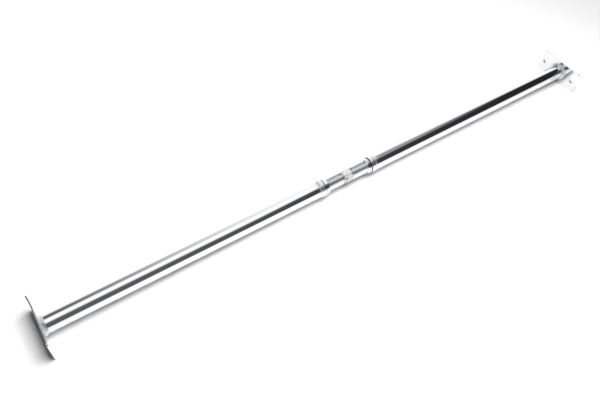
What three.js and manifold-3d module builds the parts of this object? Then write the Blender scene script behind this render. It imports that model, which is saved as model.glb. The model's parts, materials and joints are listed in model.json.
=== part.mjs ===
// Doorway pull up bar: two chromed steel tubes with welded end plates, joined at the middle by a
// turnbuckle with a left-hand and a right-hand thread, so turning the centre hexagon spreads them.
//
// Millimetres, +Z up, X along the bar. The origin is the middle of the bar, on its axis.
// Each half is modelled on the +X side and the left half is the same half turned about Z.

import * as THREE from 'three';
import { mergeVertices } from 'three/addons/utils/BufferGeometryUtils.js';
import Module from 'manifold-3d';

const wasm = await Module();
wasm.setup();

// ---- Driving dimensions ------------------------------------------------------------------------

const barLength = 1165; // between the flat outer faces of the two end plates
const gap = 0.3; // left between pieces that touch or slide on each other

const tubeDiameter = 30;
const tubeWall = 1.5;

const plateLength = 100; // along Y
const plateHeight = 50; // along Z
const plateThickness = 3;
const plateCornerRadius = 4;
const plateBow = 1.6; // how far the plate's two ends stand out from its flat middle
const plateFlatMargin = 2.7; // the plate stays flat this far beyond the weld
const screwHoleDiameter = 6.5;
const screwHoleEdge = 11.5; // from the plate's end to the hole's centre

const plateWeldWidth = 4;
const plateWeldLength = 6.5;
const bushWeldLength = 1.8;

const studEngagement = 72; // thread beyond the bush's outer face when the bar is at this length
const threadShowing = 33; // thread between the hexagon's groove and the lock ring
const grooveDepth = 2;
const grooveLength = 2;
const studChamfer = 1.5;

const hexOverThread = 0; // how much wider the hexagon's flats are than the thread
const hexLength = 18;
const spigotDiameter = 14; // the stud's turned-down end that the hexagon is pinned to
const pinDiameter = 4;
const pinWall = 0.8;
const pinSlot = 1.2;
const pinAngle = 30; // degrees from +Y towards +Z

const ringWall = 2.5;
const ringLength = 8;
const ringChamfer = 0.9;
const ringStandOff = 0.5; // between the lock ring and the bush

const bushFlangeLip = 1; // how far the flange stands out around the tube
const bushFlangeLength = 8.5;
const bushShankWall = 0.9;
const bushShankLength = 22;
const bushChamfer = 0.7;

const guideThickness = 8;
const guideChamfer = 1;
const washerDiameter = 19;
const washerThickness = 1.6;
const guideScrewDiameter = 8;
const guideScrewLength = 26; // under the head
const screwHeadDiameter = 14;
const screwHeadHeight = 4.5;
const screwSocketAcrossFlats = 5;
const screwSocketDepth = 2.6;
const tappedHoleExtra = 3; // depth of the tapped hole beyond the screw's tip

const roundSegments = 48;
const smallSegments = 24;
const arcSteps = 5;
const weldSteps = 3;

// ---- Sizes and places that follow from them ----------------------------------------------------

const tubeRadius = tubeDiameter / 2;
const tubeBoreRadius = tubeRadius - tubeWall;
const bushShankRadius = tubeBoreRadius - gap;
const studBoreRadius = bushShankRadius - bushShankWall;
const studRadius = studBoreRadius - gap; // 12 mm, an M24 thread
const hexAcrossFlats = 2 * studRadius + hexOverThread;

const hexHalf = hexLength / 2;
const grooveStart = hexHalf + gap;
const threadStart = grooveStart + grooveLength;
const ringStart = threadStart + threadShowing;
const bushStart = ringStart + ringLength + ringStandOff;
const bushFlangeEnd = bushStart + bushFlangeLength;
const bushEnd = bushFlangeEnd + bushShankLength;
const studEnd = bushStart + studEngagement;
const guideStart = studEnd + gap;
const washerStart = guideStart + guideThickness + gap;
const screwHeadStart = washerStart + washerThickness + gap;

const plateOuterFace = barLength / 2;
const plateInnerFace = plateOuterFace - plateThickness;
const tubeStart = bushFlangeEnd + gap;
const tubeEnd = plateInnerFace - gap;
const weldPipeRadius = tubeRadius + gap;
const plateFlatLength = 2 * (weldPipeRadius + plateWeldWidth + plateFlatMargin);
const screwHoleY = plateLength / 2 - screwHoleEdge;

// ---- Finishes ----------------------------------------------------------------------------------

const chrome = { color: 0xdfe1e3, roughness: 0.08, metalness: 1 };
const chromedWeld = { color: 0xd2d4d6, roughness: 0.25, metalness: 1 };
const zincSteel = { color: 0xb4b6b8, roughness: 0.35, metalness: 1 };
const springSteel = { color: 0x6e7072, roughness: 0.4, metalness: 1 };
const nylon = { color: 0xe6e3d8, roughness: 0.6, metalness: 0 };

// ---- Shape helpers -----------------------------------------------------------------------------

// Turns a closed outline of [radius, x] points about the X axis. The outline runs so that its
// inside lies on the left, and either closes on itself or starts and ends on the axis.
function turned(outline, segments = roundSegments) {
  const points = outline.map(([radius, x]) => new THREE.Vector2(radius, x));
  if (outline[0][0] > 0) points.push(points[0].clone());
  return new THREE.LatheGeometry(points, segments).rotateZ(-Math.PI / 2);
}

// A ring from x0 to x1 with both outer edges chamfered.
function chamferedRing(boreRadius, radius, x0, x1, chamfer) {
  return turned([
    [boreRadius, x0],
    [radius - chamfer, x0],
    [radius, x0 + chamfer],
    [radius, x1 - chamfer],
    [radius - chamfer, x1],
    [boreRadius, x1],
  ]);
}

// A rod along X from x0 to x1.
function rod(radius, x0, x1, segments = smallSegments) {
  const geometry = new THREE.CylinderGeometry(radius, radius, x1 - x0, segments);
  return geometry.rotateZ(-Math.PI / 2).translate((x0 + x1) / 2, 0, 0);
}

// A regular hexagonal prism along X from x0 to x1, with a flat on top.
function hexPrism(acrossFlats, x0, x1) {
  const cornerRadius = acrossFlats / Math.sqrt(3);
  const geometry = new THREE.CylinderGeometry(cornerRadius, cornerRadius, x1 - x0, 6);
  return geometry.rotateY(Math.PI / 6).rotateZ(-Math.PI / 2).translate((x0 + x1) / 2, 0, 0);
}

// A fillet weld bead around a pipe: it stands `width` up the plate at xFoot and dies out on the
// pipe at xFoot - length (or + length when `towards` is 1), with a swollen face.
function weldBead(pipeRadius, width, length, xFoot, towards) {
  const face = [];
  for (let step = 0; step <= weldSteps; step += 1) {
    const angle = (step / weldSteps) * (Math.PI / 2);
    face.push([pipeRadius + width * Math.cos(angle), xFoot + towards * length * Math.sin(angle)]);
  }
  const outline = [[pipeRadius, xFoot], ...face];
  return turned(towards > 0 ? outline : outline.reverse());
}

function toSolid(geometry) {
  const positions = geometry.index ? geometry.clone() : geometry;
  positions.deleteAttribute('normal');
  positions.deleteAttribute('uv');
  const merged = mergeVertices(positions);
  return new wasm.Manifold(new wasm.Mesh({
    numProp: 3,
    vertProperties: new Float32Array(merged.attributes.position.array),
    triVerts: new Uint32Array(merged.index.array),
  }));
}

function toGeometry(solid) {
  const mesh = solid.getMesh();
  const geometry = new THREE.BufferGeometry();
  geometry.setAttribute('position', new THREE.BufferAttribute(mesh.vertProperties, mesh.numProp));
  geometry.setIndex(new THREE.BufferAttribute(mesh.triVerts, 1));
  geometry.computeVertexNormals();
  return geometry;
}

function cut(geometry, ...tools) {
  return toGeometry(tools.reduce((solid, tool) => solid.subtract(toSolid(tool)), toSolid(geometry)));
}

// ---- Pieces ------------------------------------------------------------------------------------

// The plate is a strip bent so that its middle is flat and both ends curve away from the bar.
function endPlate() {
  const halfLength = plateLength / 2;
  const halfFlat = plateFlatLength / 2;
  const stations = [];
  for (let step = 0; step <= arcSteps; step += 1) {
    const share = step / arcSteps;
    stations.push([halfFlat + share * (halfLength - halfFlat), plateBow * share * share]);
  }
  const middleLine = [...stations.map(([y, bow]) => [-y, bow]).reverse(), ...stations];
  const outline = new THREE.Shape([
    ...middleLine.map(([y, bow]) => new THREE.Vector2(plateOuterFace + bow, y)),
    ...middleLine.map(([y, bow]) => new THREE.Vector2(plateInnerFace + bow, y)).reverse(),
  ]);
  const strip = new THREE.ExtrudeGeometry(outline, { depth: plateHeight, bevelEnabled: false });
  strip.translate(0, 0, -plateHeight / 2);

  const r = plateCornerRadius;
  const halfHeight = plateHeight / 2;
  const face = new THREE.Shape();
  face.moveTo(halfLength - r, -halfHeight);
  face.absarc(halfLength - r, -halfHeight + r, r, -Math.PI / 2, 0);
  face.absarc(halfLength - r, halfHeight - r, r, 0, Math.PI / 2);
  face.absarc(-halfLength + r, halfHeight - r, r, Math.PI / 2, Math.PI);
  face.absarc(-halfLength + r, -halfHeight + r, r, Math.PI, 1.5 * Math.PI);
  face.closePath();
  const blankDepth = plateThickness + 2 * plateBow + 2;
  const blank = new THREE.ExtrudeGeometry(face, {
    depth: blankDepth, bevelEnabled: false, curveSegments: arcSteps,
  });
  // The face is drawn in XY, so its X becomes Y and its Y becomes Z.
  blank.rotateX(Math.PI / 2).rotateZ(Math.PI / 2).translate(plateInnerFace - 1, 0, 0);

  const rounded = toSolid(strip).intersect(toSolid(blank));
  const drill = (y) => rod(
    screwHoleDiameter / 2, plateInnerFace - 1, plateOuterFace + plateBow + 1,
  ).translate(0, y, 0);
  return toGeometry(
    rounded.subtract(toSolid(drill(-screwHoleY))).subtract(toSolid(drill(screwHoleY))),
  );
}

function tube() {
  return turned([
    [tubeBoreRadius, tubeStart],
    [tubeRadius, tubeStart],
    [tubeRadius, tubeEnd],
    [tubeBoreRadius, tubeEnd],
  ]);
}

function plateWeld() {
  return weldBead(weldPipeRadius, plateWeldWidth, plateWeldLength, plateInnerFace - gap, -1);
}

// The bush is the nut of the turnbuckle: a flange that shows and a shank inside the tube.
function threadedBush() {
  const flangeRadius = tubeRadius + bushFlangeLip;
  return turned([
    [studBoreRadius, bushStart],
    [flangeRadius - bushChamfer, bushStart],
    [flangeRadius, bushStart + bushChamfer],
    [flangeRadius, bushFlangeEnd],
    [bushShankRadius, bushFlangeEnd],
    [bushShankRadius, bushEnd],
    [studBoreRadius, bushEnd],
  ]);
}

function bushWeld() {
  return weldBead(weldPipeRadius, bushFlangeLip - gap, bushWeldLength, tubeStart, 1);
}

function lockRing() {
  return chamferedRing(
    studBoreRadius, studBoreRadius + ringWall, ringStart, ringStart + ringLength, ringChamfer,
  );
}

// A rod across the bar at x, leaning from +Y towards +Z by the given degrees.
function crossRod(radius, length, x, lean) {
  const geometry = new THREE.CylinderGeometry(radius, radius, length, smallSegments);
  return geometry.rotateX(THREE.MathUtils.degToRad(lean)).translate(x, 0, 0);
}

const pinX = (hexHalf + gap) / 2;
const pinHoleRadius = pinDiameter / 2 + gap;

// One threaded half of the turnbuckle, drawn at its thread's outer diameter.
function threadedStud(pinLean) {
  const spigotRadius = spigotDiameter / 2;
  const grooveRadius = studRadius - grooveDepth;
  const tappedRadius = guideScrewDiameter / 2 + gap;
  const tappedDepth = guideScrewLength + tappedHoleExtra - (screwHeadStart - studEnd);
  const stud = turned([
    [0, gap / 2],
    [spigotRadius, gap / 2],
    [spigotRadius, grooveStart],
    [grooveRadius, grooveStart],
    [grooveRadius, threadStart],
    [studRadius - studChamfer, threadStart],
    [studRadius, threadStart + studChamfer],
    [studRadius, studEnd - studChamfer],
    [studRadius - studChamfer, studEnd],
    [tappedRadius, studEnd],
    [tappedRadius, studEnd - tappedDepth],
    [0, studEnd - tappedDepth - tappedRadius / 2],
  ]);
  return cut(stud, crossRod(pinHoleRadius, 2 * spigotDiameter, pinX, pinLean));
}

function centreHex() {
  const cornerRadius = hexAcrossFlats / Math.sqrt(3);
  const flatRadius = hexAcrossFlats / 2;
  const chamfer = (cornerRadius - flatRadius) * 0.7;
  const cone = turned([
    [0, -hexHalf],
    [flatRadius, -hexHalf],
    [cornerRadius + gap, -hexHalf + chamfer],
    [cornerRadius + gap, hexHalf - chamfer],
    [flatRadius, hexHalf],
    [0, hexHalf],
  ]);
  const body = toSolid(hexPrism(hexAcrossFlats, -hexHalf, hexHalf)).intersect(toSolid(cone));
  const bore = rod(spigotDiameter / 2 + gap, -hexLength, hexLength, roundSegments);
  const pinHoles = [pinX, -pinX].map(
    (x) => crossRod(pinHoleRadius, 2 * hexAcrossFlats, x, pinAngle),
  );
  return cut(toGeometry(body), bore, ...pinHoles);
}

// A rolled spring pin: a sleeve with one open slot along it.
function hexPin(pinLean) {
  const radius = pinDiameter / 2;
  const slotAngle = Math.asin(pinSlot / 2 / radius);
  const section = new THREE.Shape();
  section.absarc(0, 0, radius, slotAngle, 2 * Math.PI - slotAngle, false);
  section.absarc(0, 0, radius - pinWall, 2 * Math.PI - slotAngle, slotAngle, true);
  section.closePath();
  const length = hexAcrossFlats - 1;
  const geometry = new THREE.ExtrudeGeometry(section, {
    depth: length, bevelEnabled: false, curveSegments: smallSegments / 2,
  });
  geometry.translate(0, 0, -length / 2).rotateX(-Math.PI / 2);
  return geometry.rotateX(THREE.MathUtils.degToRad(pinLean)).translate(pinX, 0, 0);
}

// The nylon disc that centres the stud in the tube and stops it at the bush.
function guideDisc() {
  return chamferedRing(
    guideScrewDiameter / 2 + gap, tubeBoreRadius - gap,
    guideStart, guideStart + guideThickness, guideChamfer,
  );
}

function guideWasher() {
  const bore = guideScrewDiameter / 2 + gap;
  const radius = washerDiameter / 2;
  return turned([
    [bore, washerStart],
    [radius, washerStart],
    [radius, washerStart + washerThickness],
    [bore, washerStart + washerThickness],
  ], smallSegments);
}

function guideScrew() {
  const shankRadius = guideScrewDiameter / 2;
  const headRadius = screwHeadDiameter / 2;
  const headEnd = screwHeadStart + screwHeadHeight;
  const tip = screwHeadStart - guideScrewLength;
  const head = [];
  for (let step = 0; step <= arcSteps; step += 1) {
    const angle = (step / arcSteps) * (Math.PI / 3);
    const share = Math.sin(angle) / Math.sin(Math.PI / 3);
    head.push([headRadius * Math.cos(angle), screwHeadStart + 1 + (screwHeadHeight - 1) * share]);
  }
  const screw = turned([
    [0, tip],
    [shankRadius - 1, tip],
    [shankRadius, tip + 1],
    [shankRadius, screwHeadStart],
    [headRadius, screwHeadStart],
    ...head,
    [0, headEnd],
  ], smallSegments);
  return cut(screw, hexPrism(screwSocketAcrossFlats, headEnd - screwSocketDepth, headEnd + 1));
}

// ---- The bar -----------------------------------------------------------------------------------

function piece(name, geometry, finish) {
  const mesh = new THREE.Mesh(geometry, new THREE.MeshStandardMaterial(finish));
  mesh.name = name;
  return mesh;
}

const group = new THREE.Group();
group.add(piece('centre_hex', centreHex(), chrome));

// Turning a half about Z mirrors its lean, so the left one leans the other way to line up.
for (const [side, turn, pinLean] of [['left', Math.PI, -pinAngle], ['right', 0, pinAngle]]) {
  const half = new THREE.Group();
  half.rotation.z = turn;
  half.add(piece(`${side}_end_plate`, endPlate(), chrome));
  half.add(piece(`${side}_plate_weld`, plateWeld(), chromedWeld));
  half.add(piece(`${side}_tube`, tube(), chrome));
  half.add(piece(`${side}_threaded_bush`, threadedBush(), chrome));
  half.add(piece(`${side}_bush_weld`, bushWeld(), chromedWeld));
  half.add(piece(`${side}_lock_ring`, lockRing(), chrome));
  half.add(piece(`${side}_threaded_stud`, threadedStud(pinLean), chrome));
  half.add(piece(`${side}_hex_pin`, hexPin(pinLean), springSteel));
  half.add(piece(`${side}_guide_disc`, guideDisc(), nylon));
  half.add(piece(`${side}_guide_washer`, guideWasher(), zincSteel));
  half.add(piece(`${side}_guide_screw`, guideScrew(), zincSteel));
  group.add(half);
}

export default group;
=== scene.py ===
import json
from math import ceil, cos, floor, pi, radians, sin, tan

import bmesh
import bpy
from mathutils import Matrix, Vector, noise


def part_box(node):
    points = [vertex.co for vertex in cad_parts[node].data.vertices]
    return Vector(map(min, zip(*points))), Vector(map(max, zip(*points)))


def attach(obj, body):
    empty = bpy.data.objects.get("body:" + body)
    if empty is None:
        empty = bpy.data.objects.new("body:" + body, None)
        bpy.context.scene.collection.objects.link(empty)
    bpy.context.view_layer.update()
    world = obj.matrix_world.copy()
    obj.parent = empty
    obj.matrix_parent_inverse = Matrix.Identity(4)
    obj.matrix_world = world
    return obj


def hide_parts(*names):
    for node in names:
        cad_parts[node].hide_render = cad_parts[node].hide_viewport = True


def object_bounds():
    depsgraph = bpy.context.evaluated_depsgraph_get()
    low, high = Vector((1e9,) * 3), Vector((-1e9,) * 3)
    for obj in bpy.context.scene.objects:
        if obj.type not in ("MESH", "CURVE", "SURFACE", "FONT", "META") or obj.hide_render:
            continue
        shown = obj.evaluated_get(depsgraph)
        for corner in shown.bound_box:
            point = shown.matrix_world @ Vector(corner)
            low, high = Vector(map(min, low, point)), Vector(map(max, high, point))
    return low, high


# A chromed doorway pull up bar: two tubes with drilled end plates, spread by a turnbuckle.
# Every piece of one end is modelled on the right-hand side, outwards from the middle along +X,
# and turned half a turn about Z for the left-hand side. Lengths are in metres.

bl_info = {
    "name": "Doorway pull up bar",
    "version": (1, 0, 0),
    "blender": (4, 5, 0),
    "location": "3D View > Sidebar > Pull Up Bar",
    "description": "Models a chromed doorway pull up bar around its packed design",
    "category": "Add Mesh",
}

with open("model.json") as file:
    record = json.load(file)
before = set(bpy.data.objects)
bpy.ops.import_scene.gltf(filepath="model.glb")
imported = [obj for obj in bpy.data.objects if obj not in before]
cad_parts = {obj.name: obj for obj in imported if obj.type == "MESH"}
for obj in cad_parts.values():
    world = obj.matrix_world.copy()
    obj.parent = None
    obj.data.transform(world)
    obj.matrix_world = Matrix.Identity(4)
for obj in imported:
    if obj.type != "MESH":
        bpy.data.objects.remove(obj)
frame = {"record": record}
DESIGN_LOW, DESIGN_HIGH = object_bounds()

SIDES = ("left", "right")
# 1 for a right-hand thread and -1 for a left-hand one.
HAND = {"left": 1, "right": -1}
FULL_TURN = 2 * pi
MM = 0.001


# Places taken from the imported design

def reach(node):
    """How far from the bar's middle a right-hand node starts and ends, and its half height."""
    low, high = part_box("right_" + node)
    return low.x, high.x, high.z


def body_of(node):
    """The moving body that holds a node."""
    bodies = frame["record"]["behaviour"]["bodies"]
    return next(body for body, nodes in bodies.items() if node in nodes)


def advance_per_turn():
    """How far a stud moves in its bush for one turn of the hexagon: the pitch of its thread."""
    couplings = frame["record"]["behaviour"]["couplings"]
    return FULL_TURN * next(c["ratio"] for c in couplings if c["joint"] == "stud_advance")


def wall_face():
    """How far out the flat middle of an end plate's outer face stands."""
    mounts = frame["record"]["mounts"]
    return next(m["pos_m"][0] for m in mounts if m["name"] == "right_wall_face")


def screw_hole_place():
    """How far from the bar's axis an end plate's screw holes are."""
    openings = frame["record"]["physics"]["openings"]
    low, high = next(o["box_m"] for o in openings if o["name"] == "right_back_screw_hole")
    return (low[1] + high[1]) / 2


def colour_of(slot):
    """A finish's base colour in the record."""
    materials = frame["record"]["materials"]
    return tuple(next(m["base_color"] for m in materials if m["slot"] == slot))


# Sizes, colours and studio settings that a user would change

def length(name, description, default):
    """A length in metres that the user can change."""
    return bpy.props.FloatProperty(
        name=name, description=description, default=default, min=0.0, precision=5, unit="LENGTH")


def share(name, description, default):
    """A share from 0 to 1."""
    return bpy.props.FloatProperty(
        name=name, description=description, default=default, min=0.0, max=1.0, subtype="FACTOR")


def colour(name, description, default):
    """A linear colour."""
    return bpy.props.FloatVectorProperty(
        name=name, description=description, default=default, size=3, min=0.0, max=1.0, subtype="COLOR")


def whole(name, description, default):
    """A whole number of steps."""
    return bpy.props.IntProperty(name=name, description=description, default=default, min=3)


class BarSizes(bpy.types.PropertyGroup):
    """Sizes of the bar that its packed design doesn't state."""

    edge_round: length("Edge rounding", "Radius broken on every cut edge", 0.35 * MM)
    turned_steps: whole("Steps of a round", "Faces around a turned piece", 96)

    tube_wall: length("Tube wall", "Thickness of the tube's wall", 1.5 * MM)

    plate_corner: length("Plate corner", "Radius of an end plate's corners", 4 * MM)
    plate_flat: length("Plate flat", "Half length of the plate's flat middle", 22 * MM)
    plate_edge: length("Plate edge", "Rounding of the plate's rolled edges", 0.5 * MM)
    screw_hole: length("Screw hole", "Diameter of a screw hole", 6.5 * MM)

    ripple_pitch: length("Weld ripple", "Distance from one weld ripple to the next", 1.9 * MM)
    ripple_height: length("Ripple height", "How far a weld ripple stands up", 0.32 * MM)
    bead_ripple: length("Small bead ripple", "Ripple height of the bush's bead", 0.1 * MM)
    weld_drift: length("Weld drift", "How far the welder's hand wanders", 0.55 * MM)

    thread_steps: whole("Steps of a thread", "Faces around one turn of a thread", 48)
    thread_room: length("Thread clearance", "Room between a thread and its nut", 0.1 * MM)
    stud_chamfer: length("Stud chamfer", "Chamfer at each end of the studs' threads", 1.5 * MM)
    groove_depth: length("Groove depth", "Depth of the groove next to the hexagon", 2 * MM)
    groove_length: length("Groove length", "Length of the groove next to the hexagon", 2 * MM)

    spigot: length("Spigot", "Diameter of the stud's spigot in the hexagon", 14 * MM)
    spigot_room: length("Spigot clearance", "Room around a spigot and around a pin", 0.06 * MM)
    pin_wall: length("Pin wall", "Thickness of a rolled pin's wall", 0.8 * MM)
    pin_slot: length("Pin slot", "Width of a rolled pin's slot", 1.2 * MM)
    pin_diameter: length("Pin diameter", "Diameter of a rolled pin", 4 * MM)
    hex_edge: length("Hexagon edge", "How far a hexagon's long edges are rounded back", 0.6 * MM)

    ring_chamfer: length("Ring chamfer", "Chamfer of a lock ring's rims", 0.9 * MM)
    flange_chamfer: length("Flange chamfer", "Chamfer of a bush flange's rim", 0.7 * MM)
    flange_length: length("Flange length", "Length of a bush's flange", 8.5 * MM)

    tapped_bore: length("Tapped bore", "Radius of the tapped hole in a stud's end", 4.1 * MM)
    tapped_depth: length("Tapped depth", "Depth of the tapped hole in a stud's end", 18.5 * MM)
    guide_bore: length("Guide bore", "Radius of the bore of a guide and its washer", 4.3 * MM)
    guide_chamfer: length("Guide chamfer", "Chamfer of a guide's rims", 1 * MM)
    screw_radius: length("Screw radius", "Radius of a guide screw's shank", 4 * MM)
    socket_width: length("Socket width", "Width across the flats of a screw's socket", 5 * MM)
    socket_depth: length("Socket depth", "Depth of a screw's socket", 2.6 * MM)


class BarFinish(bpy.types.PropertyGroup):
    """Colours and states of the bar's finishes."""

    chrome: colour("Chrome", "Colour of the bright chrome plating", colour_of("chrome"))
    weld: colour("Chromed weld", "Colour of the plating on the welds", colour_of("chromed_weld"))
    zinc: colour("Zinc", "Colour of the zinc plated screws", colour_of("zinc_steel"))
    spring: colour("Spring steel", "Colour of the rolled pins", colour_of("spring_steel"))
    nylon: colour("Nylon", "Colour of the guide discs", colour_of("nylon"))
    haze: share("Haze", "Roughness of the cleanest plating", 0.035)
    handling: share("Handling", "Roughness that finger marks and smears add", 0.1)
    # Grey tone taken by wear, smears, heat tint and pits, and also used to paint shade into the thread
    # roots.
    wear_and_shade: colour("Plating shadow", "Colour that thin plating takes in corners", (0.36, 0.35, 0.33))
    # Near black that paints shade onto the screw holes' walls and into the gap between lock ring and
    # flange, with some dirt there too.
    dirt_and_shade: colour("Grime", "Colour of the dirt in gaps and drilled holes", (0.05, 0.047, 0.043))


class Studio(bpy.types.PropertyGroup):
    """The floor, the lights and the camera."""

    floor_size: length("Floor size", "Length of the floor's sides", 30.0)
    floor_colour: colour("Floor colour", "Colour of the plain floor", (0.88, 0.88, 0.885))
    far_floor: colour("Far floor", "Light that evens out the floor far from the bar", (0.66, 0.66, 0.66))
    key_power: bpy.props.FloatProperty(
        name="Key light", description="Power of the overhead key light in watts", default=26.0,
        min=0.0)
    key_place: bpy.props.FloatVectorProperty(
        name="Key place", description="Middle of the key light, from the middle of the bar",
        default=(0.0, -0.13, 1.15), size=3, subtype="TRANSLATION")
    key_length: length("Key length", "Length of the key light along the bar", 0.9)
    key_width: length("Key width", "Width of the key light across the bar", 0.8)
    fill: bpy.props.FloatProperty(
        name="Fill light", description="Brightness of the tent that fills the shadows", default=0.5,
        min=0.0)
    dim_side: share("Dim side", "Share of the fill light that the left side gives", 0.03)
    tent: bpy.props.FloatProperty(
        name="Tent", description="Brightness of the white tent in reflections", default=1.25, min=0.0)
    gap: share("Gap", "Brightness of the tent's open front in reflections", 0.12)
    far_gap: share("Far gap", "Brightness of the tent's open end in reflections", 0.02)
    camera_place: bpy.props.FloatVectorProperty(
        name="Camera place", description="Where the camera stands, from the middle of the bar",
        default=(-0.5218, -0.5604, 0.9149), size=3, precision=4, subtype="TRANSLATION")
    camera_heading: bpy.props.FloatProperty(
        name="Camera heading", description="Turn of the view from +Y towards +X",
        default=radians(36.84), subtype="ANGLE")
    camera_drop: bpy.props.FloatProperty(
        name="Camera drop", description="How far the view points below level",
        default=radians(52.71), subtype="ANGLE")
    camera_roll: bpy.props.FloatProperty(
        name="Camera roll", description="Turn of the camera about its own view",
        default=radians(4.43), subtype="ANGLE")
    camera_lens: bpy.props.FloatProperty(
        name="Camera lens", description="Focal length in millimetres on a 36 mm sensor",
        default=37.99, min=1.0)


# Shader maths

# The Mix node's sockets for colours: its factor, its two colours, and the colour that comes out.
MIX_FACTOR, MIX_UNDER, MIX_OVER, MIX_COLOUR = 0, 6, 7, 2


class Signal:
    """A value on its way through a node tree; sums written on it add Math nodes."""

    def __init__(self, recipe, socket):
        self.recipe = recipe
        self.socket = socket

    def maths(self, operation, *terms):
        """Adds a Math node that works on the terms, which are signals or numbers."""
        return self.recipe.add("ShaderNodeMath", {"operation": operation}, dict(enumerate(terms)))

    def __add__(self, other):
        return self.maths("ADD", self, other)

    def __sub__(self, other):
        return self.maths("SUBTRACT", self, other)

    def __rsub__(self, other):
        return self.maths("SUBTRACT", other, self)

    def __mul__(self, other):
        return self.maths("MULTIPLY", self, other)

    def __pow__(self, other):
        return self.maths("POWER", self, other)

    def __abs__(self):
        return self.maths("ABSOLUTE", self)

    __radd__ = __add__
    __rmul__ = __mul__

    def sine(self):
        return self.maths("SINE", self)

    def least(self, other):
        return self.maths("MINIMUM", self, other)

    def most(self, other):
        return self.maths("MAXIMUM", self, other)

    def angle_from(self, other):
        """The angle whose tangent is this signal over the other one."""
        return self.maths("ARCTAN2", self, other)

    def rise(self, start, end):
        """0 before start, 1 after end, and a smooth rise in between; it falls if end is below start."""
        settings = {"interpolation_type": "SMOOTHSTEP", "clamp": True}
        low, high, bottom, top = (start, end, 0.0, 1.0) if start < end else (end, start, 1.0, 0.0)
        inputs = {"Value": self, "From Min": low, "From Max": high, "To Min": bottom, "To Max": top}
        return self.recipe.add("ShaderNodeMapRange", settings, inputs)


class Recipe:
    """The node tree of a finish or of the surroundings, filled one node at a time."""

    def __init__(self, tree, end):
        self.tree = tree
        self.tree.nodes.clear()
        self.end = self.tree.nodes.new(end)

    def add(self, kind, settings=None, inputs=None, output=0):
        """Adds a node: its settings first, then its sockets' values or links."""
        node = self.tree.nodes.new(kind)
        for name, setting in (settings or {}).items():
            setattr(node, name, setting)
        for name, value in (inputs or {}).items():
            self.feed(node.inputs[name], value)
        return Signal(self, node.outputs[output])

    def feed(self, socket, value):
        """Links a signal to a socket, or sets the socket's own value."""
        if isinstance(value, Signal):
            self.tree.links.new(value.socket, socket)
        else:
            socket.default_value = value

    def place(self):
        """The point being shaded, in the bar's own frame, in metres."""
        return self.add("ShaderNodeTexCoord", output="Object")

    def parts_of(self, vector):
        """The X, Y and Z parts of a vector."""
        split = self.add("ShaderNodeSeparateXYZ", inputs={"Vector": vector}).socket.node
        return [Signal(self, socket) for socket in split.outputs]

    def stretched(self, vector, sizes):
        """A vector with each of its parts multiplied."""
        return self.add("ShaderNodeVectorMath", {"operation": "MULTIPLY"}, {0: vector, 1: sizes})

    def specks(self, vector, per_metre, detail=3.0, distortion=0.0):
        """Soft noise around 0.5, with so many features to a metre."""
        inputs = {"Vector": vector, "Scale": per_metre, "Detail": detail, "Distortion": distortion}
        return self.add("ShaderNodeTexNoise", inputs=inputs, output="Fac")

    def tint(self, mask, under, over):
        """A colour that goes from under to over as the mask goes from 0 to 1."""
        settings = {"data_type": "RGBA", "blend_type": "MIX", "clamp_factor": True}
        inputs = {MIX_FACTOR: mask, MIX_UNDER: self.opaque(under), MIX_OVER: self.opaque(over)}
        return self.add("ShaderNodeMix", settings, inputs, output=MIX_COLOUR)

    @staticmethod
    def opaque(value):
        """A colour with full alpha, or a signal as it is."""
        return value if isinstance(value, Signal) else (*tuple(value)[:3], 1.0)

    def bumps(self, height, depth, strength=1.0, under=None):
        """A surface normal pushed about by a height, on top of an earlier one."""
        inputs = {"Height": height, "Distance": depth, "Strength": strength}
        if under is not None:
            inputs["Normal"] = under
        return self.add("ShaderNodeBump", inputs=inputs)

    def surface(self, **sockets):
        """Ends the tree with one Principled surface; underscores stand for spaces."""
        inputs = {name.replace("_", " "): value for name, value in sockets.items()}
        inputs["Base Color"] = self.opaque(inputs["Base Color"])
        shader = self.add("ShaderNodeBsdfPrincipled", inputs=inputs)
        self.feed(self.end.inputs["Surface"], shader)


def span(one, other):
    """How far away a point is that lies one and other away in two directions square to each other."""
    return (one ** 2.0 + other ** 2.0) ** 0.5


def finish_recipe(name):
    """A new material and the recipe that fills it."""
    material = bpy.data.materials.new(name)
    material.use_nodes = True
    return material, Recipe(material.node_tree, "ShaderNodeOutputMaterial")


# Finishes
# The number given to specks is how many features there are to a metre, and the number in front of
# a mask is how much roughness or tint that mask adds. Each finish gives a base colour, a roughness
# and a normal.

def smears(recipe, place):
    """Where hands and packing have dulled the plating: broad patches with streaks in them."""
    patches = recipe.specks(place, 14.0, detail=4.0, distortion=0.6).rise(0.5, 0.72)
    streaks = recipe.specks(recipe.stretched(place, (60.0, 420.0, 420.0)), 1.0).rise(0.42, 0.7)
    return patches * (0.35 + 0.65 * streaks)


def scratches(recipe, place, along, across):
    """Hairlines that run with the first part of a stretched place and break up."""
    lines = recipe.specks(recipe.stretched(place, (along, across, across)), 1.0, detail=2.0)
    return lines.rise(0.64, 0.7)


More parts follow.
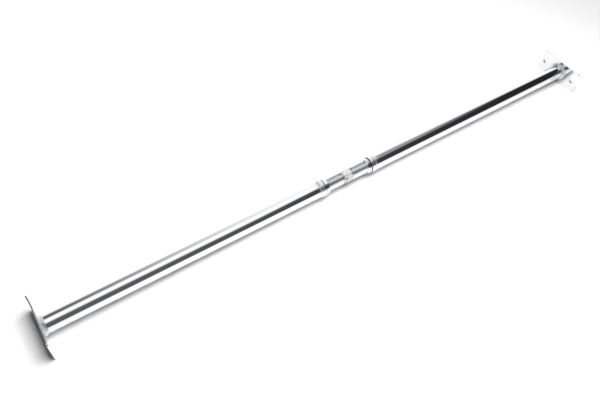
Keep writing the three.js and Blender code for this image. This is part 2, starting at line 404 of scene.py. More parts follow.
def plated_tube(recipe, place, finish):
    """Bright plating on drawn tube: hairlines along it, smears, and duller plating by the welds."""
    along, _, _ = recipe.parts_of(place)
    tube_start, tube_end, _ = reach("tube")
    outwards = abs(along)
    heat_reach = 12 * MM
    by_the_plate = outwards.rise(tube_end - heat_reach, tube_end)
    by_the_bush = outwards.rise(tube_start + heat_reach, tube_start)
    scorched = by_the_plate.most(by_the_bush)
    mottle = recipe.specks(place, 900.0, detail=5.0)
    draw_lines = recipe.specks(recipe.stretched(place, (6.0, 1500.0, 1500.0)), 1.0, detail=2.0)
    dull = smears(recipe, place)
    hairs = scratches(recipe, place, 9.0, 2600.0)
    pits = recipe.specks(place, 2600.0, detail=1.0).rise(0.76, 0.82)
    roughness = (finish.haze + finish.handling * dull + 0.36 * scorched * (0.4 + mottle)
                 + 0.05 * hairs + 0.3 * pits + 0.012 * draw_lines)
    tone = recipe.tint(0.1 * dull + 0.18 * scorched * mottle + 0.35 * pits, finish.chrome, finish.wear_and_shade)
    skin = recipe.specks(place, 170.0, detail=1.0)
    normal = recipe.bumps(skin, 0.006 * MM, 0.5)
    normal = recipe.bumps(draw_lines, 0.0006 * MM, 0.4, normal)
    return tone, roughness, normal


def plated_strip(recipe, place, finish):
    """Bright plating on rolled strip: grain along Y, wear around the screw holes and on the rims, and
    painted shade on the holes' walls.
    """
    _, across, up = recipe.parts_of(place)
    _, plate_end, plate_top = reach("end_plate")
    hole_distance = span(abs(across) - screw_hole_place(), up)
    worn_by_screws = hole_distance.rise(8.5 * MM, 5.5 * MM)
    bore = hole_distance.rise(3.75 * MM, 3.3 * MM)
    rings = (hole_distance * 9000.0 + 3.0 * recipe.specks(place, 500.0)).sine().rise(0.2, 1.0)
    rims = abs(up).rise(plate_top - 2.5 * MM, plate_top)
    by_the_weld = span(across, up).rise(29 * MM, 19 * MM)
    mottle = recipe.specks(place, 800.0, detail=5.0)
    grain = recipe.specks(recipe.stretched(place, (1400.0, 22.0, 1400.0)), 1.0, detail=3.0)
    dull = smears(recipe, place)
    nicks = recipe.specks(place, 1500.0, detail=2.0).rise(0.66, 0.74) * rims
    roughness = (finish.haze + 0.03 + finish.handling * dull + 0.22 * worn_by_screws * rings
                 + 0.16 * by_the_weld * mottle + 0.25 * nicks + 0.05 * grain + 0.4 * bore)
    wear = 0.1 * dull + 0.3 * worn_by_screws * rings + 0.25 * by_the_weld * mottle + 0.5 * nicks
    tone = recipe.tint(wear, finish.chrome, finish.wear_and_shade)
    # Painted shade: the walls of the screw holes are tinted near black.
    tone = recipe.tint(bore, tone, finish.dirt_and_shade)
    waves = recipe.specks(place, 60.0, detail=1.0)
    normal = recipe.bumps(waves, 0.05 * MM, 0.5)
    normal = recipe.bumps(grain - 0.6 * nicks, 0.003 * MM, 0.5, normal)
    return tone, roughness, normal


def plated_turning(recipe, place, finish):
    """Bright plating on turned pieces: fine tool lines around them, rubbed rims, and painted shade in
    the gap between a lock ring and its flange.
    """
    along, across, up = recipe.parts_of(place)
    radius = span(across, up)
    tool_lines = ((along + radius) * 16000.0 + 2.0 * recipe.specks(place, 200.0)).sine()
    chatter = recipe.specks(place, 420.0, detail=4.0)
    dull = smears(recipe, place)
    bites = recipe.specks(place, 950.0, detail=2.0).rise(0.62, 0.7)
    outwards = abs(along)
    ring_start, ring_end, _ = reach("lock_ring")
    shade_in_the_gap = abs(outwards - ring_end).rise(1.5 * MM, 0.5 * MM)
    on_the_ring = outwards.rise(ring_start - MM, ring_start)
    on_the_flange = outwards.rise(ring_end, ring_end + MM)
    on_the_hexagon = outwards.rise(hexagon_end() + MM, hexagon_end())
    across_it = recipe.stretched(place, (1500.0, 180.0, 180.0))
    spanner_marks = recipe.specks(across_it, 1.0).rise(0.46, 0.62) * on_the_hexagon
    worn_corners = radius.rise(13.9 * MM, 14.9 * MM) * on_the_hexagon * (0.3 + chatter)
    roughness = (finish.haze + 0.02 + finish.handling * dull + 0.03 * chatter + 0.012 * tool_lines
                 + 0.16 * bites + 0.1 * on_the_ring + 0.12 * on_the_flange * (0.5 + chatter)
                 + 0.14 * spanner_marks)
    wear = 0.12 * dull + 0.3 * bites + 0.5 * spanner_marks + 1.2 * worn_corners
    tone = recipe.tint(wear, finish.chrome, finish.wear_and_shade)
    # Painted shade: the gap between the lock ring and the bush's flange is tinted near black.
    tone = recipe.tint(0.9 * shade_in_the_gap, tone, finish.dirt_and_shade)
    normal = recipe.bumps(tool_lines, 0.0005 * MM, 0.35)
    normal = recipe.bumps(chatter, 0.01 * MM, 0.4, normal)
    return tone, roughness, normal


def plated_weld(recipe, place, finish):
    """Plating over weld metal: mottled, pitted and duller between the ripples."""
    blotches = recipe.specks(place, 480.0, detail=5.0, distortion=0.8)
    grit = recipe.specks(place, 2400.0, detail=3.0)
    pits = recipe.specks(place, 1500.0, detail=1.0).rise(0.66, 0.76)
    roughness = 0.2 + 0.3 * blotches + 0.12 * grit + 0.25 * pits
    tone = recipe.tint(0.7 * blotches.rise(0.52, 0.64) + 0.6 * pits, finish.weld, finish.wear_and_shade)
    normal = recipe.bumps(blotches, 0.25 * MM, 0.7)
    normal = recipe.bumps(grit - 0.8 * pits, 0.03 * MM, 0.5, normal)
    return tone, roughness, normal


def plated_thread(recipe, place, finish):
    """Plating on a cut thread: bright crests, and duller roots with painted shade darkening them."""
    _, across, up = recipe.parts_of(place)
    _, _, crest = reach("threaded_stud")
    radius = span(across, up)
    depth = radius.rise(crest, crest - thread_depth())
    dirt_and_shade = recipe.specks(place, 700.0, detail=4.0)
    cut_marks = recipe.specks(recipe.stretched(place, (9000.0, 500.0, 500.0)), 1.0, detail=2.0)
    roughness = 0.2 + 0.14 * depth * (0.5 + dirt_and_shade) + 0.04 * cut_marks + 0.05 * dirt_and_shade
    # Painted shade: the thread's roots are tinted darker the deeper they lie.
    tone = recipe.tint(0.3 * depth ** 2.0 * dirt_and_shade.rise(0.3, 0.8), finish.chrome, finish.wear_and_shade)
    normal = recipe.bumps(cut_marks, 0.006 * MM, 0.5)
    return tone, roughness, normal


def zinc_plate(recipe, place, finish):
    """Satin zinc plating, with a faint passivation bloom."""
    bloom = recipe.specks(place, 260.0, detail=4.0, distortion=0.5)
    grain = recipe.specks(place, 4200.0, detail=2.0)
    passivated = (0.66, 0.63, 0.52)
    tone = recipe.tint(bloom.rise(0.35, 0.75), finish.zinc, passivated)
    normal = recipe.bumps(grain, 0.008 * MM, 0.5)
    return tone, 0.26 + 0.16 * bloom + 0.06 * grain, normal


def oiled_spring_steel(recipe, place, finish):
    """Dark oiled spring steel with lighter rubbed patches."""
    oil = recipe.specks(place, 350.0, detail=4.0)
    scale = recipe.specks(place, 3000.0, detail=3.0)
    rubbed = (0.42, 0.41, 0.4)
    tone = recipe.tint(oil.rise(0.5, 0.8), finish.spring, rubbed)
    normal = recipe.bumps(scale, 0.01 * MM, 0.5)
    return tone, 0.3 + 0.2 * scale - 0.1 * oil, normal


def turned_nylon(recipe, place, finish):
    """Natural white nylon with tool lines and a little plating grease."""
    along, across, up = recipe.parts_of(place)
    radius = span(across, up)
    tool_lines = ((along + radius) * 12000.0).sine()
    grease = recipe.specks(place, 180.0, detail=4.0, distortion=0.5).rise(0.55, 0.75)
    greased = (0.5, 0.46, 0.36)
    tone = recipe.tint(0.5 * grease, finish.nylon, greased)
    normal = recipe.bumps(tool_lines, 0.008 * MM, 0.4)
    return tone, 0.5 - 0.18 * grease, normal


# Each finish's maker, its material's name, how metallic it is, and the slot that it stands for.
FINISHES = {
    "tube": (plated_tube, "bright_chrome_on_tube", 1.0, "chrome"),
    "strip": (plated_strip, "bright_chrome_on_strip", 1.0, "chrome"),
    "turning": (plated_turning, "bright_chrome_on_turnings", 1.0, "chrome"),
    "weld": (plated_weld, "chrome_on_weld", 1.0, "chromed_weld"),
    "thread": (plated_thread, "chrome_on_thread", 1.0, "chromed_thread"),
    "zinc": (zinc_plate, "zinc_plate", 1.0, "zinc_steel"),
    "spring": (oiled_spring_steel, "oiled_spring_steel", 1.0, "spring_steel"),
    "nylon": (turned_nylon, "turned_nylon", 0.0, "nylon"),
}
MADE_FINISHES = {}


def finish_and_slot(finish_name):
    """The finish of that name, made when it is first used, and its material slot."""
    maker, name, metallic, slot = FINISHES[finish_name]
    if finish_name not in MADE_FINISHES:
        material, recipe = finish_recipe(name)
        tone, roughness, normal = maker(recipe, recipe.place(), bpy.context.scene.bar_finish)
        recipe.surface(Base_Color=tone, Metallic=metallic, Roughness=roughness, Normal=normal)
        MADE_FINISHES[finish_name] = material
    return MADE_FINISHES[finish_name], slot


# Modelling helpers

SHARP_ANGLE = radians(38)
RIM_ANGLE = radians(60)
WELD_DISTANCE = 1e-7
NEAR = 10 * WELD_DISTANCE
ROUND_STEPS = 3
HOLE_STEPS = 48
PLATE_CORNER_STEPS = 10
PLATE_EDGE_STEPS = 4
HEX_EDGE_STEPS = 6
DRILL_STEPS = 32
WRAP_STEPS = 36
AXIS = (1.0, 0.0, 0.0)
ORIGIN = (0.0, 0.0, 0.0)


def bevel(bm, geom, offset, steps, affect):
    """Rounds the corners of an outline, or the edges of a shell."""
    bmesh.ops.bevel(bm, geom=geom, offset=offset, offset_type="OFFSET", segments=steps,
                    profile=0.5, affect=affect, material=-1)


def verts_in(geom):
    """The vertices in what a bmesh operator gives back."""
    return [g for g in geom if isinstance(g, bmesh.types.BMVert)]


def outline_face(corners):
    """A face in the plane through the axis, from (along, out) or (along, out, rounding) corners."""
    bm = bmesh.new()
    verts = [bm.verts.new((corner[0], 0.0, corner[1])) for corner in corners]
    bm.faces.new(verts)
    for rounding in sorted({corner[2] for corner in corners if len(corner) > 2}):
        chosen = [v for v, corner in zip(verts, corners) if len(corner) > 2 and corner[2] == rounding]
        bevel(bm, chosen, rounding, ROUND_STEPS, "VERTICES")
    return bm


def turn(bm, steps, left_out):
    """Spins an outline once about the bar's axis, without the edges that are left out."""
    bmesh.ops.delete(bm, geom=bm.faces[:], context="FACES_ONLY")
    bmesh.ops.delete(bm, geom=left_out, context="EDGES")
    bmesh.ops.spin(bm, geom=bm.verts[:] + bm.edges[:], cent=ORIGIN, axis=AXIS, dvec=ORIGIN,
                   angle=FULL_TURN, steps=steps, use_merge=True, use_duplicate=False)
    bmesh.ops.remove_doubles(bm, verts=bm.verts[:], dist=WELD_DISTANCE)


def lathe(corners, steps):
    """A turned piece from its closed outline."""
    bm = outline_face(corners)
    on_axis = [e for e in bm.edges if all(abs(v.co.z) < WELD_DISTANCE for v in e.verts)]
    turn(bm, steps, on_axis)
    bmesh.ops.recalc_face_normals(bm, faces=bm.faces[:])
    return bm


THREAD_SHARE = 0.45
THREAD_POINTS = 10
THREAD_SHARPNESS = 1.25


def thread_depth():
    """Depth of the thread from crest to root."""
    return THREAD_SHARE * advance_per_turn()


def thread_form(radius):
    """One pitch of the thread's outline, root to root, as (along, out): the plating rounds it."""
    pitch = advance_per_turn()
    places = [step / THREAD_POINTS - 0.5 for step in range(THREAD_POINTS + 1)]
    return [(place * pitch,
             radius - thread_depth() * (0.5 - 0.5 * cos(FULL_TURN * place)) ** THREAD_SHARPNESS)
            for place in places]


def cut_thread(low, high, radius, hand, steps):
    """A threaded surface between two places on the axis, open at both ends."""
    pitch = advance_per_turn()
    first = floor(low / pitch) - 1
    last = ceil(high / pitch) + 1
    bm = bmesh.new()
    verts = [bm.verts.new((first * pitch + along, 0.0, out)) for along, out in thread_form(radius)]
    edges = [bm.edges.new(pair) for pair in zip(verts, verts[1:])]
    bmesh.ops.spin(bm, geom=verts + edges, cent=ORIGIN, axis=AXIS, dvec=(pitch / steps, 0.0, 0.0),
                   angle=hand * FULL_TURN, steps=steps, use_merge=False, use_duplicate=False)
    one_turn = bm.verts[:] + bm.edges[:] + bm.faces[:]
    for turns in range(1, last - first):
        copied = bmesh.ops.duplicate(bm, geom=one_turn)["geom"]
        bmesh.ops.translate(bm, verts=verts_in(copied), vec=(turns * pitch, 0.0, 0.0))
    bmesh.ops.remove_doubles(bm, verts=bm.verts[:], dist=NEAR)
    return bm


def trim(bm, low, high):
    """Cuts off everything before low and after high."""
    for place, before in ((low, True), (high, False)):
        bmesh.ops.bisect_plane(bm, geom=bm.verts[:] + bm.edges[:] + bm.faces[:], dist=WELD_DISTANCE,
                               plane_co=(place, 0.0, 0.0), plane_no=AXIS,
                               clear_inner=before, clear_outer=not before)


def limit_radius(bm, limit, keep_inside):
    """Moves each vertex in to, or out to, the radius that limit gives for its place on the axis."""
    for v in bm.verts:
        radius = v.co.yz.length
        bound = limit(v.co.x)
        if (radius > bound) if keep_inside else (radius < bound):
            v.co.y *= bound / radius
            v.co.z *= bound / radius


def open_edges_at(bm, place):
    """The open edges around the axis at a place on it."""
    return [e for e in bm.edges if e.is_boundary and all(abs(v.co.x - place) < NEAR for v in e.verts)]


def carry_on(bm, edges, places):
    """Extrudes a loop of open edges through (along, out) places; the last loop's edges come back."""
    for along, out in places:
        extruded = bmesh.ops.extrude_edge_only(bm, edges=edges)["geom"]
        edges = [g for g in extruded if isinstance(g, bmesh.types.BMEdge) and g.is_boundary]
        for v in {v for e in edges for v in e.verts}:
            radius = v.co.yz.length
            v.co = (along, v.co.y * out / radius, v.co.z * out / radius)
    return edges


def close_end(bm, edges, place):
    """Draws a loop of open edges together into a pole on the axis."""
    extruded = bmesh.ops.extrude_edge_only(bm, edges=edges)["geom"]
    bmesh.ops.pointmerge(bm, verts=verts_in(extruded), merge_co=(place, 0.0, 0.0))


def join_in(bm, other):
    """Adds another bmesh's geometry."""
    mesh = bpy.data.meshes.new("joined")
    other.to_mesh(mesh)
    other.free()
    bm.from_mesh(mesh)
    bpy.data.meshes.remove(mesh)


def drilled(bm, cutters):
    """A copy of a closed bmesh with closed cutter bmeshes taken out of it."""
    body = bpy.data.objects.new("being_drilled", as_mesh(bm, "being_drilled"))
    bpy.context.collection.objects.link(body)
    tools = []
    for cutter in cutters:
        tool = bpy.data.objects.new("drill", as_mesh(cutter, "drill"))
        bpy.context.collection.objects.link(tool)
        tools.append(tool)
        cut = body.modifiers.new("drill", "BOOLEAN")
        cut.operation = "DIFFERENCE"
        cut.solver = "EXACT"
        cut.object = tool
    evaluated = body.evaluated_get(bpy.context.evaluated_depsgraph_get())
    result = bmesh.new()
    result.from_mesh(evaluated.to_mesh())
    evaluated.to_mesh_clear()
    for thing in [body, *tools]:
        mesh = thing.data
        bpy.data.objects.remove(thing)
        bpy.data.meshes.remove(mesh)
    return result


def as_mesh(bm, name):
    """Writes a bmesh into a new mesh and frees it."""
    mesh = bpy.data.meshes.new(name)
    bm.to_mesh(mesh)
    bm.free()
    return mesh


def on_side(bm, side):
    """Turns a right-hand shape half a turn about Z if it is for the left-hand side."""
    if side == "left":
        bmesh.ops.rotate(bm, verts=bm.verts[:], cent=ORIGIN, matrix=Matrix.Rotation(pi, 3, "Z"))
    return bm


def place_piece(bm, name, finish_name, node):
    """Makes the piece's object, which rides on its body and stands for its node."""
    material, slot = finish_and_slot(finish_name)
    mesh = as_mesh(bm, name)
    mesh.shade_smooth()
    mesh.set_sharp_from_angle(angle=SHARP_ANGLE)
    mesh.materials.append(material)
    piece = bpy.data.objects.new(name, mesh)
    bpy.context.collection.objects.link(piece)
    shading = piece.modifiers.new("even_shading", "WEIGHTED_NORMAL")
    shading.keep_sharp = True
    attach(piece, body_of(node))
    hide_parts(node)


# Pieces

def tube(sizes, _side):
    """A length of tube, from the bush's flange to the end plate."""
    _, _, radius = reach("tube")
    start = reach("threaded_bush")[0] + sizes.flange_length
    end = reach("end_plate")[0]
    bore = radius - sizes.tube_wall
    rounding = sizes.edge_round
    return lathe([(start, bore, rounding), (start, radius, rounding),
                  (end, radius, rounding), (end, bore, rounding)], sizes.turned_steps)


def plate_outline(bm, sizes):
    """The plate's outline with its rounded corners, and its two screw holes, as flat edges."""
    half_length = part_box("right_end_plate")[1].y
    half_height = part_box("right_end_plate")[1].z
    corners = [(half_length, half_height), (-half_length, half_height),
               (-half_length, -half_height), (half_length, -half_height)]
    verts = [bm.verts.new((0.0, y, z)) for y, z in corners]
    bm.faces.new(verts)
    bevel(bm, verts, sizes.plate_corner, PLATE_CORNER_STEPS, "VERTICES")
    bmesh.ops.delete(bm, geom=bm.faces[:], context="FACES_ONLY")
    for side in (1, -1):
        into_place = (Matrix.Translation((0.0, side * screw_hole_place(), 0.0))
                      @ Matrix.Rotation(pi / 2, 4, "Y"))
        bmesh.ops.create_circle(bm, cap_ends=False, radius=sizes.screw_hole / 2,
                                segments=HOLE_STEPS, matrix=into_place)


def end_plate(sizes, _side):
    """A drilled plate of rolled strip, its two ends sprung outwards a little."""
    low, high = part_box("right_end_plate")
    thickness = wall_face() - low.x
    spring = high.x - wall_face()
    bm = bmesh.new()
    plate_outline(bm, sizes)
    bmesh.ops.triangle_fill(bm, use_beauty=True, use_dissolve=False, edges=bm.edges[:], normal=AXIS)
    cuts = 16
    for step in range(cuts + 1):
        place = sizes.plate_flat + (high.y - sizes.plate_flat) * step / cuts
        for side in (1, -1):
            bmesh.ops.bisect_plane(bm, geom=bm.verts[:] + bm.edges[:] + bm.faces[:],
                                   dist=WELD_DISTANCE, plane_co=(0.0, side * place, 0.0),
                                   plane_no=(0.0, 1.0, 0.0))
    front = bmesh.ops.extrude_face_region(bm, geom=bm.faces[:])["geom"]
    bmesh.ops.translate(bm, verts=verts_in(front), vec=(thickness, 0.0, 0.0))
    bmesh.ops.recalc_face_normals(bm, faces=bm.faces[:])
    rims = [e for e in bm.edges if e.is_manifold and e.calc_face_angle() > RIM_ANGLE]
    bevel(bm, rims, sizes.plate_edge, PLATE_EDGE_STEPS, "EDGES")
    for v in bm.verts:
        bent = max(0.0, abs(v.co.y) - sizes.plate_flat) / (high.y - sizes.plate_flat)
        v.co.x += low.x + spring * bent ** 2
    return bm


# How a bead's ripples run: faces along each, how far they lag behind at the crown and to a metre
# from the bead's middle, how many radians a lag of 1 is, and how sharp the ripples' valleys are.
RIPPLE_STEPS = 6
CROWN_LAG = 0.9
SIDE_LAG = 60.0
LAG_TURN = 2.2
RIPPLE_SHARPNESS = 0.7
# How a bead wanders: its lumps and its smaller bumps to a metre, and the share of each.
LUMPS = 120.0
BUMPS = 420.0
BUMP_SHARE = 0.5
BUMPS_FROM = Vector((7.0, 3.0, 1.0))
WANDER_MIDDLE = 0.35
# The part of a bead's height that sits against the tube and stays smooth.
SMOOTH_ROOT = 0.3


def weld_bead(corners, sizes, ripple_height, drift):
    """A bead run by hand around the tube: rippled, and never quite even."""
    root = min(out for _, out in corners)
    crown = max(out for _, out in corners)
    ripples = round(FULL_TURN * crown / sizes.ripple_pitch)
    bm = lathe(corners, RIPPLE_STEPS * ripples)
    middle = sum(along for along, _ in corners) / len(corners)
    for v in bm.verts:
        radius = v.co.yz.length
        turned = Vector((v.co.z, v.co.y)).angle_signed(Vector((1.0, 0.0)), 0.0)
        showing = min(1.0, (radius - root) / (SMOOTH_ROOT * (crown - root)))
        lag = CROWN_LAG * (radius - root) / (crown - root) + SIDE_LAG * abs(v.co.x - middle)
        wave = abs(sin(0.5 * (turned * ripples + LAG_TURN * lag))) ** RIPPLE_SHARPNESS
        wander = noise.noise(v.co * LUMPS) + BUMP_SHARE * noise.noise(v.co * BUMPS + BUMPS_FROM)
        lift = showing * (ripple_height * (wave - 1.0) + drift * (wander - WANDER_MIDDLE))
        v.co.y *= (radius + lift) / radius
        v.co.z *= (radius + lift) / radius
    bmesh.ops.recalc_face_normals(bm, faces=bm.faces[:])
    return bm


def plate_weld(sizes, _side):
    """The fillet weld between a tube and its end plate."""
    start, _, crown = reach("plate_weld")
    plate = reach("end_plate")[0]
    tube_radius = reach("tube")[2]
    width = plate - start
    height = crown - tube_radius
    steps = 10
    toe, throat = 1.15, 0.8
    bow = [(start + width * sin(pi / 2 * k / steps) ** toe,
            tube_radius + height * (1 - cos(pi / 2 * k / steps)) ** throat) for k in range(steps + 1)]
    inside = tube_radius - 0.25 * MM
    return weld_bead([(plate, inside), (start, inside), *bow], sizes, sizes.ripple_height,
                     sizes.weld_drift)


def bush_weld(sizes, _side):
    """The narrow bead between a tube and the flange of its bush."""
    start, end, crown = reach("bush_weld")
    tube_radius = reach("tube")[2]
    steps = 8
    bow = [(end - (end - start) * k / steps,
            tube_radius + (crown - tube_radius) * sin(pi / 2 * k / steps)) for k in range(steps + 1)]
    inside = tube_radius - 0.2 * MM
    flange_end = reach("threaded_bush")[0] + sizes.flange_length
    return weld_bead([(end, inside), *bow, (flange_end, crown), (flange_end, inside)], sizes,
                     sizes.bead_ripple, sizes.bead_ripple)


def threaded_shell(corners, low, high, side, sizes):
    """A turned shell whose outline is open at the bore, with a thread cut in the bore."""
    _, _, crest = reach("threaded_stud")
    radius = crest + sizes.thread_room
    mouth = radius + 0.25 * MM
    minor = radius - thread_depth()
    slip = 0.001 * MM
    inset = 0.2 * MM
    bm = outline_face([(low, mouth), *corners, (high, mouth)])
    closing = [e for e in bm.edges if all(abs(v.co.z - mouth) < WELD_DISTANCE for v in e.verts)]
    turn(bm, sizes.turned_steps, closing)
    inner_low = low + inset
    inner_high = high - inset

    def bore(along):
        """The least radius of the bore, which widens to the thread's outer radius at both mouths."""
        return max(minor, radius + slip - min(along - inner_low, inner_high - along))

    inner = cut_thread(inner_low, inner_high, radius, HAND[side], sizes.thread_steps)
    limit_radius(inner, bore, False)
    trim(inner, inner_low, inner_high)
    join_in(bm, inner)
    for outer_place, inner_place in ((low, inner_low), (high, inner_high)):
        loops = open_edges_at(bm, outer_place) + open_edges_at(bm, inner_place)
        bmesh.ops.bridge_loops(bm, edges=loops)
    bmesh.ops.recalc_face_normals(bm, faces=bm.faces[:])
    return bm


def threaded_bush(sizes, side):
    """A bush with a flange for the tube to stand against and a shank inside the tube."""
    low, high, flange = reach("threaded_bush")
    shoulder = low + sizes.flange_length
    shank = reach("guide_disc")[2]
    rounding = sizes.edge_round
    chamfer = sizes.flange_chamfer
    corners = [(low, flange - chamfer, rounding), (low + chamfer, flange, rounding),
               (shoulder, flange, rounding), (shoulder, shank), (high - chamfer, shank, rounding),
               (high, shank - 0.5 * chamfer)]
    return threaded_shell(corners, low, high, side, sizes)


def lock_ring(sizes, side):
    """A plain round lock nut with chamfered rims."""
    low, high, radius = reach("lock_ring")
    chamfer = sizes.ring_chamfer
    rounding = sizes.edge_round
    corners = [(low, radius - chamfer, rounding), (low + chamfer, radius, rounding),
               (high - chamfer, radius, rounding), (high, radius - chamfer, rounding)]
    return threaded_shell(corners, low, high, side, sizes)


def hexagon_end():
    """How far from the middle the hexagon's end faces are."""
    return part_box("centre_hex")[1].x


def pin_place():
    """How far from the bar's middle the middle of the right-hand pin is."""
    low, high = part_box("right_hex_pin")
    return (low.x + high.x) / 2


# How far each side's pin leans from +Y towards +Z, before a left-hand shape is turned over.
PIN_LEAN = {"left": radians(-30), "right": radians(30)}
PIN_DRILL_REACH = 16 * MM
# A drill's point off square, half the angle that a hexagon's side covers, and the slope of its
# turned-back corners.
DRILL_POINT = radians(31)
HALF_FACET = radians(30)
TURNED_BACK = radians(30)
EASE = 0.4 * MM


def pin_hole(place, lean, sizes):
    """A drill for a pin's hole, across the bar's axis, leaning from +Y towards +Z."""
    radius = sizes.pin_diameter / 2 + sizes.spigot_room
    bm = bmesh.new()
    into_place = (Matrix.Translation((place, 0.0, 0.0)) @ Matrix.Rotation(lean, 4, "X")
                  @ Matrix.Rotation(-pi / 2, 4, "X"))
    bmesh.ops.create_cone(bm, cap_ends=True, cap_tris=False, segments=DRILL_STEPS, radius1=radius,
                          radius2=radius, depth=2 * PIN_DRILL_REACH, matrix=into_place)
    return bm


def threaded_stud(sizes, side):
    """A stud with its thread, the groove next to the hexagon, its pinned spigot and tapped end."""
    _, tip, radius = reach("threaded_stud")
    root = radius - thread_depth()
    spigot = sizes.spigot / 2
    shoulder = hexagon_end()
    clearance = 0.3 * MM
    relief = 0.1 * MM
    start = shoulder + clearance + sizes.groove_length
    spigot_end = reach("threaded_stud")[0]
    groove = radius - sizes.groove_depth
    bm = cut_thread(start, tip, radius, HAND[side], sizes.thread_steps)

    def chamfered(along):
        """The greatest radius of the thread, under the chamfers at its start and at the tip."""
        return min(root - relief + max(0.0, along - start),
                   radius - sizes.stud_chamfer + max(0.0, tip - along))

    limit_radius(bm, chamfered, True)
    trim(bm, start, tip)
    inner = open_edges_at(bm, start)
    last = carry_on(bm, inner, [(start - EASE / 2, groove + EASE / 3), (start - EASE, groove),
                                (shoulder, groove), (shoulder, spigot),
                                (spigot_end + EASE, spigot), (spigot_end, spigot - EASE)])
    close_end(bm, last, spigot_end)
    bore = sizes.tapped_bore
    outer = open_edges_at(bm, tip)
    last = carry_on(bm, outer, [(tip, bore + EASE), (tip - EASE, bore),
                                (tip - sizes.tapped_depth, bore)])
    close_end(bm, last, tip - sizes.tapped_depth - bore * tan(DRILL_POINT))
    bmesh.ops.recalc_face_normals(bm, faces=bm.faces[:])
    return drilled(bm, [pin_hole(pin_place(), PIN_LEAN[side], sizes)])


def centre_hexagon(sizes):
    """The hexagon that a spanner turns, its corners turned back at both ends."""
    end = hexagon_end()
    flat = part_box("centre_hex")[1].z
    corner = flat / cos(HALF_FACET)
    bm = bmesh.new()
    bmesh.ops.create_cone(bm, cap_ends=True, cap_tris=False, segments=6, radius1=corner,
                          radius2=corner, depth=2 * end, matrix=Matrix.Rotation(pi / 2, 4, "Y"))
    long_edges = [e for e in bm.edges if abs(e.verts[0].co.x - e.verts[1].co.x) > end]
    bevel(bm, long_edges, sizes.hex_edge, HEX_EDGE_STEPS, "EDGES")
    bmesh.ops.recalc_face_normals(bm, faces=bm.faces[:])
    slope = tan(TURNED_BACK)
    over = 1 * MM
    reach_out = corner + 2 * over
    rim = flat - 0.3 * MM
    collar = lathe([(-end - over, rim - over / slope), (-end - over, reach_out + over),
                    (end + over, reach_out + over), (end + over, rim - over / slope),
                    (end - (reach_out - rim) * slope, reach_out),
                    (-end + (reach_out - rim) * slope, reach_out)], sizes.turned_steps)
    bore = sizes.spigot / 2 + sizes.spigot_room
    reamer = lathe([(-end - over, 0.0), (-end - over, bore + EASE + over), (-end + EASE, bore),
                    (end - EASE, bore), (end + over, bore + EASE + over), (end + over, 0.0)],
                   sizes.turned_steps)
    # The left-hand hole leans the other way from the left pin once that is in place: a known fault.
    holes = [pin_hole(pin_place(), PIN_LEAN["right"], sizes),
             pin_hole(-pin_place(), PIN_LEAN["left"], sizes)]
    return drilled(bm, [collar, reamer, *holes])


def rolled_pin(sizes, side):
    """A spring pin rolled from strip, with its slot and chamfered ends."""
    lean = PIN_LEAN[side]
    radius = sizes.pin_diameter / 2
    low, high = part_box("right_hex_pin")
    half_length = (high.y - radius * sin(abs(lean))) / cos(lean)
    inner = radius - sizes.pin_wall
    chamfer = 0.5 * MM
    corners = [(-half_length, inner), (-half_length, radius - chamfer), (-half_length + chamfer, radius),
               (half_length - chamfer, radius), (half_length, radius - chamfer), (half_length, inner)]
    bm = outline_face(corners)
    gap = sizes.pin_slot / radius
    start = bm.faces[:]
    bmesh.ops.rotate(bm, verts=bm.verts[:], cent=ORIGIN, matrix=Matrix.Rotation(gap / 2, 3, "X"))
    bmesh.ops.spin(bm, geom=start, cent=ORIGIN, axis=AXIS, dvec=ORIGIN, angle=FULL_TURN - gap,
                   steps=WRAP_STEPS, use_merge=False, use_duplicate=False)
    bmesh.ops.recalc_face_normals(bm, faces=bm.faces[:])
    into_place = (Matrix.Translation((pin_place(), 0.0, 0.0)) @ Matrix.Rotation(lean, 4, "X")
                  @ Matrix.Rotation(pi / 2, 4, "Z"))
    bmesh.ops.transform(bm, matrix=into_place, verts=bm.verts[:])
    return bm


def guide_disc(sizes, _side):
    """The disc that keeps a stud's inner end in the middle of its tube."""
    low, high, radius = reach("guide_disc")
    chamfer = sizes.guide_chamfer
    rounding = sizes.edge_round
    bore = sizes.guide_bore
    return lathe([(low, bore, rounding), (low, radius - chamfer, rounding),
                  (low + chamfer, radius, rounding), (high - chamfer, radius, rounding),
                  (high, radius - chamfer, rounding), (high, bore, rounding)], sizes.turned_steps)


def guide_washer(sizes, _side):
    """A stamped flat washer, its rims rounded by the punch."""
    low, high, radius = reach("guide_washer")
    rounding = sizes.edge_round
    bore = sizes.guide_bore
    return lathe([(low, bore, rounding), (low, radius, rounding), (high, radius, rounding),
                  (high, bore, rounding)], sizes.turned_steps)


def guide_screw(sizes, _side):
    """A low domed screw with a hexagon socket, its shank in the stud's tapped end."""
    low, high, head = reach("guide_screw")
    seat = reach("guide_washer")[1]
    shank = sizes.screw_radius
    end_break = 0.6 * MM
    rim_break = 0.3 * MM
    steps = 8
    rim_height, crown_width = 0.35, 0.62
    crown = [(seat + (high - seat) * (rim_height + (1 - rim_height) * sin(pi / 2 * k / steps)),
              head * (crown_width + (1 - crown_width) * cos(pi / 2 * k / steps)))
             for k in range(steps + 1)]
    corners = [(low, 0.0), (low, shank - end_break), (low + end_break, shank), (seat, shank),
               (seat, head - rim_break), (seat + rim_break, head), *crown, (high, 0.0)]
    bm = lathe(corners, sizes.turned_steps // 2)
    socket = bmesh.new()
    corner = sizes.socket_width / 2 / cos(HALF_FACET)
    into_place = Matrix.Translation((high, 0.0, 0.0)) @ Matrix.Rotation(pi / 2, 4, "Y")
    bmesh.ops.create_cone(socket, cap_ends=True, cap_tris=False, segments=6, radius1=corner,
                          radius2=corner, depth=2 * sizes.socket_depth, matrix=into_place)
    bmesh.ops.recalc_face_normals(socket, faces=socket.faces[:])
    return drilled(bm, [socket])


# Operators

